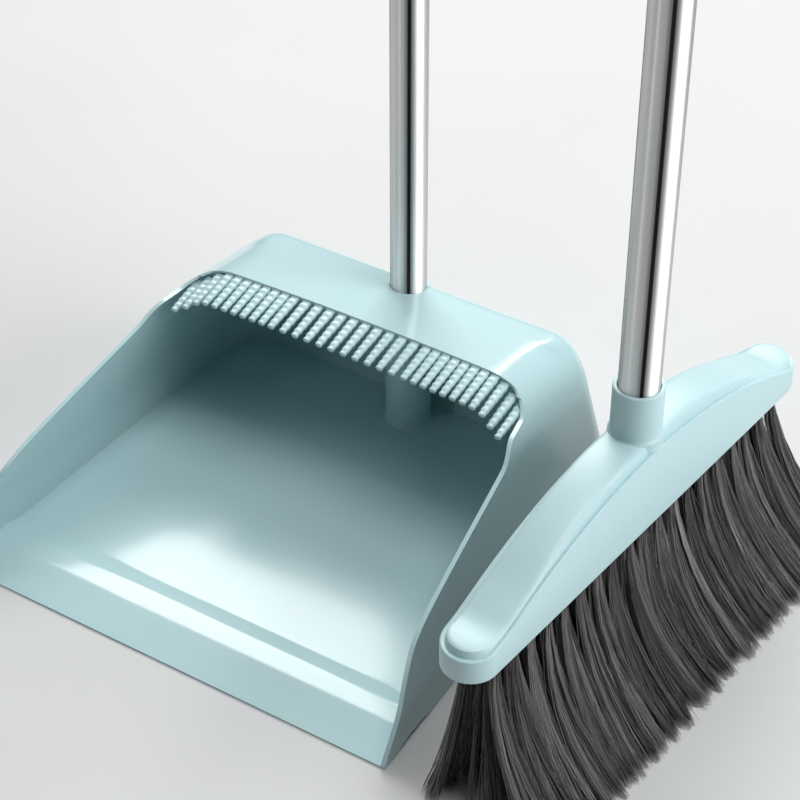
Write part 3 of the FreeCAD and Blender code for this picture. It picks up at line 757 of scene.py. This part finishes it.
def makeTooth(bm, x):
    inset = panSet["wall"] + combSet["gap"]
    root = underHood(abs(x) + combSet["rootHalf"] / 2.0, hoodLine, inset)
    root.y += 0.8
    sink = combSet["endSink"] * smoothStep(abs(x), *combSet["shoulder"])
    length = (combSet["reach"] + 0.8) / math.cos(math.radians(combSet["drop"]))
    verts = bmesh.ops.create_cone(bm, cap_ends=True, segments=12, radius1=1.0, radius2=1.0,
                                  depth=1.0)["verts"]
    bmesh.ops.translate(bm, vec=(0.0, 0.0, 0.5), verts=verts)
    faces = list({face for vert in verts for face in vert.link_faces})
    for place in steps(0.0, 0.95, 30) + [0.95, 0.97, 0.985, 0.995]:
        geometry = verts + list({edge for vert in verts for edge in vert.link_edges}) + faces
        cut = bmesh.ops.bisect_plane(bm, geom=geometry, plane_co=(0.0, 0.0, place),
                                     plane_no=(0.0, 0.0, 1.0), dist=0.0001)
        verts = verts + [item for item in cut["geom_cut"] if isinstance(item, bmesh.types.BMVert)]
        faces = list({face for vert in verts for face in vert.link_faces})
    slope = math.radians(combSet["drop"])
    forward = Vector((0.0, -math.cos(slope), -math.sin(slope)))
    upward = Vector((0.0, -math.sin(slope), math.cos(slope)))
    for vert in verts:
        along = vert.co.z
        wave = math.cos(math.tau * (combSet["bumps"] * along + 0.1))
        width = combSet["rootHalf"] * (1.0 + (combSet["tipShare"] - 1.0) * along)
        width += combSet["bumpSide"] * wave
        rise = combSet["thick"] / 2.0 + combSet["bumpTop"] * wave
        end = min(1.0, max(0.0, (along - 0.95) / 0.05))
        end = math.sqrt(max(0.0, 1.0 - end * end * 0.97))
        square = 0.62                       # cross section between round and square
        side = math.copysign(abs(vert.co.x) ** square, vert.co.x) * width * end
        up = math.copysign(abs(vert.co.y) ** square, vert.co.y) * end
        up *= rise if up > 0.0 else combSet["thick"] / 2.0
        centre = Vector((x, root.y, root.z - combSet["thick"] / 2.0 + combSet["rise"] - sink))
        vert.co = centre + forward * length * along + Vector((side, 0.0, 0.0)) + upward * up


def toothPlaces():
    gaps = [combSet["outerPitch"]] * combSet["outerGaps"] + [combSet["middlePitch"]] * combSet["middleGaps"]
    gaps += [combSet["outerPitch"]] * combSet["outerGaps"]
    places = [-sum(gaps) / 2.0]
    for gap in gaps:
        places.append(places[-1] + gap)
    return [place * combSet["draw"] for place in places]


def makeComb():
    bm = bmesh.new()
    makeRail(bm)
    for x in toothPlaces():
        makeTooth(bm, x)
    bmesh.ops.recalc_face_normals(bm, faces=bm.faces)
    return bm


comb = placePiece("hairCombStrip", makeComb(), "mintComb", "pan", ["hair_comb"], 50.0)
print("stage: comb,", len(comb.data.polygons), "faces")


# broom head: a hollow-looking arched cover with a ledge, end pads and a pole boss

headLow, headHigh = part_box("broom_head")
broomSet = {
    "turn": -5.3,           # degrees, head against the pan's side-to-side line
    "halfLength": 149.0,
    "halfWidth": 14.6,
    "rim": headLow.z / mm,
    "ledgeEnd": 108.0,
    "ledgeRise": 34.0,
    "ledgeFoot": (134.0, 14.0),     # from the middle, half length of the bend
    "ledgeTop": (62.0, 62.0),
    "topEnd": 112.6,
    "topRise": 35.2,
    "topFoot": (125.0, 8.0),
    "topTop": (54.0, 40.0),
    "slices": 64,
}
# rings from the inside of the rim to the middle line of the top:
# inset from the outline, level (0 rim, 1 ledge, 2 top) and lift
headRings = (
    (2.4, 0.0, 9.0), (2.4, 0.0, 0.6), (2.0, 0.0, 0.1), (1.2, 0.0, 0.0), (0.5, 0.0, 0.05),
    (0.1, 0.0, 0.4), (0.0, 0.0, 1.0), (0.0, 0.5, 0.0), (0.0, 1.0, -0.9), (0.1, 1.0, -0.35),
    (0.4, 1.0, -0.05), (0.8, 1.0, 0.05), (1.3, 1.0, 0.0), (1.9, 1.0, -0.16), (2.3, 1.0, -0.2),
    (2.5, 1.06, 0.0), (2.65, 1.3, 0.0), (2.95, 1.6, 0.0), (3.4, 1.83, 0.0), (4.3, 1.95, 0.0),
    (5.6, 2.0, 0.0), (8.5, 2.0, 0.25), (12.0, 2.0, 0.35), (14.35, 2.0, 0.38),
)


def bend(distance, reach):
    # zero, then a slope of one, joined by a parabola of the given half length
    if distance <= -reach:
        return 0.0
    if distance >= reach:
        return distance
    return (distance + reach) ** 2 / (4.0 * reach)


def archAt(y, end, rise, foot, top):
    slope = rise / (foot[0] - top[0])
    away = abs(y)
    return end + slope * (bend(foot[0] - away, foot[1]) - bend(top[0] - away, top[1]))


def headHeight(y, level, lift):
    ledge = archAt(y, broomSet["ledgeEnd"], broomSet["ledgeRise"], broomSet["ledgeFoot"],
                   broomSet["ledgeTop"])
    top = archAt(y, broomSet["topEnd"], broomSet["topRise"], broomSet["topFoot"], broomSet["topTop"])
    top = max(top, ledge + 1.3)
    if level <= 1.0:
        return broomSet["rim"] + (ledge - broomSet["rim"]) * level + lift
    return ledge + (top - ledge) * (level - 1.0) + lift


def toBroom(bm):
    # the broom is shaped on its own axis with the head along Y, then set in its place
    bmesh.ops.rotate(bm, cent=(0.0, 0.0, 0.0), verts=bm.verts,
                     matrix=Matrix.Rotation(math.radians(broomSet["turn"]), 3, "Z"))
    bmesh.ops.translate(bm, vec=(broomAxis.x / mm, broomAxis.y / mm, 0.0), verts=bm.verts)
    return bm


def makeHead():
    bm = bmesh.new()
    straight = broomSet["halfLength"] - broomSet["halfWidth"]
    first = broomSet["halfWidth"] - headRings[0][0]
    bmesh.ops.create_circle(bm, cap_ends=True, segments=48, radius=first)
    bmesh.ops.rotate(bm, cent=(0.0, 0.0, 0.0), verts=bm.verts,
                     matrix=Matrix.Rotation(math.radians(3.75), 3, "Z"))
    for vert in bm.verts:
        vert.co.y += math.copysign(straight, vert.co.y)
    bm.faces.ensure_lookup_table()
    cap = bm.faces[0]
    for i, ring in enumerate(headRings[1:]):
        grown = bmesh.ops.extrude_face_region(bm, geom=[cap])
        if i > 0:
            bmesh.ops.delete(bm, geom=[cap], context="FACES_ONLY")
        cap = [item for item in grown["geom"] if isinstance(item, bmesh.types.BMFace)][0]
        radius = broomSet["halfWidth"] - ring[0]
        for vert in cap.verts:
            middle = math.copysign(straight, vert.co.y)
            reach = math.hypot(vert.co.x, vert.co.y - middle)
            vert.co.x *= radius / reach
            vert.co.y = middle + (vert.co.y - middle) * radius / reach
            vert.co.z = i + 1.0
    sliceBox(bm, 1, steps(-straight, straight, broomSet["slices"]))
    for vert in bm.verts:
        inset, level, lift = headRings[round(vert.co.z)]
        vert.co.z = headHeight(vert.co.y, level, lift)
    bmesh.ops.recalc_face_normals(bm, faces=bm.faces)
    return toBroom(bm)


bossSet = {
    "radius": 13.0,
    "rim": headHigh.z / mm,
    "bore": 10.6,
    "seat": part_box("broom_pole_plug")[0].z / mm + 22.0,
    "studBore": 7.95,
    "studEnd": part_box("broom_pole_plug")[0].z / mm - 0.1,
}


def makeBoss():
    bm = bmesh.new()
    radius, rim = bossSet["radius"], bossSet["rim"]
    spinProfile(bm, [(0.0, 140.0), (radius + 1.2, 140.0), (radius + 1.1, 147.9), (radius + 0.45, 148.5),
                     (radius + 0.1, 149.2), (radius, 150.2), (radius, rim - 0.9),
                     (radius - 0.12, rim - 0.4), (radius - 0.4, rim - 0.1), (radius - 0.8, rim),
                     (0.0, rim)])
    return toBroom(bm)


def makeBossBore():
    bm = bmesh.new()
    bore, rim = bossSet["bore"], bossSet["rim"]
    spinProfile(bm, [(0.0, bossSet["studEnd"]), (bossSet["studBore"], bossSet["studEnd"]),
                     (bossSet["studBore"], bossSet["seat"]), (bore, bossSet["seat"]), (bore, rim - 0.7),
                     (bore + 0.12, rim - 0.3), (bore + 0.5, rim + 0.05), (bore + 0.5, rim + 2.0),
                     (0.0, rim + 2.0)])
    return toBroom(bm)


head = placePiece("broomCover", makeHead(), "mintHead", "broom", ["broom_head"], 40.0)
cutWith(head, makeBoss(), "UNION")
cutWith(head, makeBossBore(), "DIFFERENCE")
finishShade(head, 32.0)
print("stage: broom head,", len(head.data.polygons), "faces")


# bristles: one three-sided fibre, copied by an array and bent into place in locks

bristleSet = {
    "pitch": 14.0,
    "plateLow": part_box("tuft_plate")[0].z / mm,
    "holeRadius": 2.5,
    "rootThick": 0.44,
    "tipThick": 0.32,
    "spans": 6,
    "locks": 24,
    "endFlare": 0.1,
    "strays": 0.04,
    "lockSpread": 9.0,      # how far a lock's tips wander along the head
    "endLimit": 150.0,      # no tip goes much further than this from the middle
    "mostFibres": 5250,     # in one piece
    "seed": 11,
}
# piece, replaced node, offset at the plate, offset at the ground, tufts, fibres in a tuft, spread across
tuftRows = (
    ("bristlesLeft", "tufts_left", -7.0, -13.0, 19, 260, 7.0),
    ("bristlesMiddle", "tufts_middle", 0.0, 22.0, 18, 280, 15.0),
    ("bristlesRight", "tufts_right", 7.0, 55.5, 19, 520, 8.0),
)


def makeFibres(name, count):
    bm = bmesh.new()
    bmesh.ops.create_cone(bm, cap_ends=True, segments=3, radius1=0.5, radius2=0.5, depth=1.0)
    bmesh.ops.translate(bm, vec=(0.0, 0.0, 0.5), verts=bm.verts)
    sliceBox(bm, 2, steps(0.0, 1.0, bristleSet["spans"]))
    mesh = bpy.data.meshes.new(name)
    bm.to_mesh(mesh)
    bm.free()
    piece = sceneObject(name, mesh)
    array = piece.modifiers.new("copies", "ARRAY")
    array.count = count
    array.use_relative_offset = False
    array.use_constant_offset = True
    array.constant_offset_displace = (0.0, 0.0, 0.0)
    applyModifiers(piece)
    return piece


def fibrePlan(chance, row, places):
    # root, tip, bow and tone of every fibre in some tufts of a row
    topX, footX, tufts, each, across = row[2:]
    plan = []
    for place in places:
        y = (place - (tufts - 1) / 2.0) * bristleSet["pitch"]
        footY = y * (1.0 + bristleSet["endFlare"])
        share = abs(y) / 133.0
        wander = chance.normal(0.0, 1.0, 2)
        for lock in range(bristleSet["locks"]):
            # a lock of fibres lies together and shares its shade
            size = each // bristleSet["locks"] + (1 if lock < each % bristleSet["locks"] else 0)
            turn = chance.uniform(0.0, math.tau)
            reach = bristleSet["holeRadius"] * math.sqrt(chance.uniform(0.0, 1.0))
            rootX = topX + reach * math.cos(turn) + chance.normal(0.0, 0.25, size)
            rootY = y + reach * math.sin(turn) + chance.normal(0.0, 0.25, size)
            lockX = footX + (0.55 * math.cos(turn) * reach / bristleSet["holeRadius"]
                             + chance.uniform(-0.75, 0.45)) * across
            lockY = footY + 0.5 * wander[1] + 4.0 * math.sin(turn)
            lockY += chance.uniform(-1.0, 1.0) * bristleSet["lockSpread"]
            lockTone = chance.beta(0.8, 2.6)
            stray = np.where(chance.uniform(0.0, 1.0, size) < bristleSet["strays"], 1.0, 0.0)
            tipX = lockX + chance.normal(0.0, 1.3, size)
            edge = footX + across
            tipX = np.where(tipX > edge, edge - chance.uniform(0.0, 2.0, size), tipX)
            tipY = lockY + chance.normal(0.0, 1.1, size) + stray * chance.normal(0.0, 8.0, size)
            lowest = -bristleSet["endLimit"] - chance.uniform(0.0, 4.0, size)
            highest = bristleSet["endLimit"] + chance.uniform(0.0, 4.0, size)
            tipY = np.clip(tipY, lowest, highest)
            tipZ = chance.uniform(0.15, 1.6, size)
            tone = np.clip(0.7 * lockTone + 0.45 * chance.beta(0.9, 3.6, size) + 0.15 * stray, 0.0, 1.0)
            bow = chance.normal(0.0, 0.4, size) + chance.normal(0.0, 0.9) + share
            plan.append(np.stack([rootX, rootY, tipX, tipY, tipZ, tone, bow], axis=1))
    return np.concatenate(plan)


def layFibres(piece, plan):
    mesh = piece.data
    count = len(plan)
    flat = np.empty(len(mesh.vertices) * 3)
    mesh.vertices.foreach_get("co", flat)
    points = flat.reshape(count, -1, 3)
    along = 1.0 - points[:, :, 2]           # nought at the plate, one at the tip
    rootX, rootY, tipX, tipY, tipZ, tone, bow = (plan[:, i:i + 1] for i in range(7))
    sweep = 0.24 * along + 0.76 * along ** 2.1
    spreadOut = 0.72 * along ** 0.8 + 0.28 * along ** 2.0
    top = bristleSet["plateLow"] + 0.6
    thick = bristleSet["rootThick"] + (bristleSet["tipThick"] - bristleSet["rootThick"]) * along
    x = rootX + (tipX - rootX) * sweep + points[:, :, 0] * thick
    y = rootY + (tipY - rootY) * spreadOut + bow * 2.0 * np.sin(math.pi * along)
    y = y + points[:, :, 1] * thick
    z = top + (tipZ - top) * (along + 0.05 * np.sin(math.pi * along))
    turn = math.radians(broomSet["turn"])
    worldX = (x * math.cos(turn) - y * math.sin(turn)) * mm + broomAxis.x
    worldY = (x * math.sin(turn) + y * math.cos(turn)) * mm + broomAxis.y
    worldZ = np.maximum(z, 0.1) * mm
    mesh.vertices.foreach_set("co", np.stack([worldX, worldY, worldZ], axis=2).ravel())
    for name, values in (("fibreAlong", along), ("fibreTone", np.broadcast_to(tone, along.shape))):
        layer = mesh.attributes.new(name, "FLOAT", "POINT")
        layer.data.foreach_set("value", np.ascontiguousarray(values).ravel())
    mesh.update()


def makeBristles():
    chance = np.random.default_rng(bristleSet["seed"])
    for row in tuftRows:
        name, node, tufts, each = row[0], row[1], row[4], row[5]
        groups = 1 + tufts * each // bristleSet["mostFibres"]
        for group in range(groups):
            places = list(range(tufts * group // groups, tufts * (group + 1) // groups))
            plan = fibrePlan(chance, row, places)
            pieceName = name if groups == 1 else name + "_" + str(group + 1)
            piece = makeFibres(pieceName, len(plan))
            layFibres(piece, plan)
            piece.data.shade_smooth()
            piece.data.materials.append(looks["bristle"])
            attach(piece, "broom")
            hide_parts(node)
            print("stage:", pieceName, len(plan), "fibres")


makeBristles()


# grips and hanging caps at the poles' upper ends

gripSet = {"grooves": 4, "grooveHalf": 2.2, "grooveDeep": 0.9, "round": 0.9, "inner": 10.55}
capSet = {
    "height": 10.0,
    "radius": 12.5,
    "crownRound": 4.0,
    "plug": 9.86,           # radius of the part inside the tube
    "plugDeep": 18.0,
    "eyeRise": 14.0,
    "eyeRadius": 9.0,
    "holeRadius": 4.0,
    "thick": 8.0,
    "soft": 1.6,
}


def makeGrip(node, centre):
    low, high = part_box(node)
    radius = (high.x - low.x) / 2.0 / mm
    bottom, top = low.z / mm, high.z / mm
    inner, soft = gripSet["inner"], gripSet["round"]
    points = [(inner, bottom), (radius - soft, bottom), (radius - 0.3 * soft, bottom + 0.3 * soft),
              (radius, bottom + soft)]
    for i in range(gripSet["grooves"]):
        middle = bottom + (top - bottom) * (i + 1.0) / (gripSet["grooves"] + 1.0)
        for share in (-1.0, -0.7, -0.35, 0.0, 0.35, 0.7, 1.0):
            deep = gripSet["grooveDeep"] * 0.5 * (1.0 + math.cos(math.pi * share))
            points.append((radius - deep, middle + share * gripSet["grooveHalf"]))
    points += [(radius, top - soft), (radius - 0.3 * soft, top - 0.3 * soft), (radius - soft, top),
               (inner, top)]
    bm = bmesh.new()
    spinProfile(bm, points + points[:1], 48, (centre.x / mm, centre.y / mm))
    return bm


def makeCap(top, centre):
    # rounded cap body; the eye's ring and neck are joined on after
    bm = bmesh.new()
    radius, inner, soft = capSet["radius"], capSet["plug"], capSet["crownRound"]
    high, foot = top + capSet["height"], top - capSet["plugDeep"]
    points = [(0.0, foot), (inner, foot), (inner, top), (radius, top), (radius, high - soft)]
    for turn in (22.5, 45.0, 67.5, 90.0):
        angle = math.radians(turn)
        points.append((radius - soft + soft * math.cos(angle), high - soft + soft * math.sin(angle)))
    spinProfile(bm, points + [(0.0, high)], 48, (centre.x / mm, centre.y / mm))
    return bm


def makeEye(top, centre):
    # ring of the hanging eye, and the neck that carries it, as one closed outline
    bm = bmesh.new()
    eye = top + capSet["height"] + capSet["eyeRise"]
    bmesh.ops.create_circle(bm, cap_ends=True, segments=40, radius=capSet["eyeRadius"])
    for vert in bm.verts:
        if vert.co.y < -0.01:
            vert.co.x = math.copysign(capSet["eyeRadius"], vert.co.x) if abs(vert.co.x) > 0.01 else 0.0
            vert.co.y = -capSet["eyeRise"] - capSet["height"] / 2.0
    bmesh.ops.remove_doubles(bm, verts=bm.verts, dist=0.001)
    grown = bmesh.ops.extrude_face_region(bm, geom=bm.faces[:])
    lifted = [item for item in grown["geom"] if isinstance(item, bmesh.types.BMVert)]
    bmesh.ops.translate(bm, vec=(0.0, 0.0, capSet["thick"]), verts=lifted)
    bmesh.ops.translate(bm, vec=(0.0, 0.0, -capSet["thick"] / 2.0), verts=bm.verts)
    bmesh.ops.recalc_face_normals(bm, faces=bm.faces)
    edges = [edge for edge in bm.edges if edge.calc_face_angle(0.0) > 1.0]
    bmesh.ops.bevel(bm, geom=edges, offset=capSet["soft"], segments=3, profile=0.5, affect="EDGES",
                    material=-1, clamp_overlap=True)
    upright = Matrix.Rotation(math.radians(90.0), 3, "Z") @ Matrix.Rotation(math.radians(90.0), 3, "X")
    bmesh.ops.rotate(bm, cent=(0.0, 0.0, 0.0), verts=bm.verts, matrix=upright)
    bmesh.ops.translate(bm, vec=(centre.x / mm, centre.y / mm, eye), verts=bm.verts)
    return bm


def makeEyeHole(top, centre):
    bm = bmesh.new()
    eye = top + capSet["height"] + capSet["eyeRise"]
    half, hole = capSet["thick"] / 2.0, capSet["holeRadius"]
    spinProfile(bm, [(0.0, -half - 1.0), (hole + 1.6, -half - 1.0), (hole + 1.2, -half),
                     (hole + 0.35, -half + 0.5), (hole, -half + 1.3), (hole, half - 1.3),
                     (hole + 0.35, half - 0.5), (hole + 1.2, half), (hole + 1.6, half + 1.0),
                     (0.0, half + 1.0)], 32)
    bmesh.ops.rotate(bm, cent=(0.0, 0.0, 0.0), verts=bm.verts,
                     matrix=Matrix.Rotation(math.radians(90.0), 3, "Y"))
    bmesh.ops.translate(bm, vec=(centre.x / mm, centre.y / mm, eye), verts=bm.verts)
    return bm


for tool, centre in (("pan", panAxis), ("broom", broomAxis)):
    body = tool + "_pole_top"
    gripNode = tool + "_grip"
    placePiece(tool + "Grip", makeGrip(gripNode, centre), "grip", body, [gripNode], 40.0)
    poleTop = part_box(gripNode)[1].z / mm
    cap = placePiece(tool + "HangCap", makeCap(poleTop, centre), "mintCap", body,
                     [tool + "_hang_cap"], 40.0)
    cutWith(cap, makeEye(poleTop, centre), "UNION")
    cutWith(cap, makeEyeHole(poleTop, centre), "DIFFERENCE")
    finishShade(cap, 40.0)
print("stage: grips and hanging caps")


# CAD pieces that keep their shape

keptLooks = {
    "pan_pole_lower": "steelPan", "pan_pole_upper": "steelPan",
    "broom_pole_lower": "steelBroom", "broom_pole_upper": "steelBroom",
    "pan_pole_plug": "insert", "broom_pole_plug": "insert",
    "pan_coupler_socket": "insert", "broom_coupler_socket": "insert",
    "pan_coupler_stud": "insert", "broom_coupler_stud": "insert",
    "tuft_plate": "plate", "plate_screws": "screw", "tuft_anchors": "wire",
}


def dressNodes():
    for name, look in keptLooks.items():
        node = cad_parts[name]
        node.data.materials.clear()
        node.data.materials.append(looks[look])


dressNodes()
print("stage: kept pieces dressed")
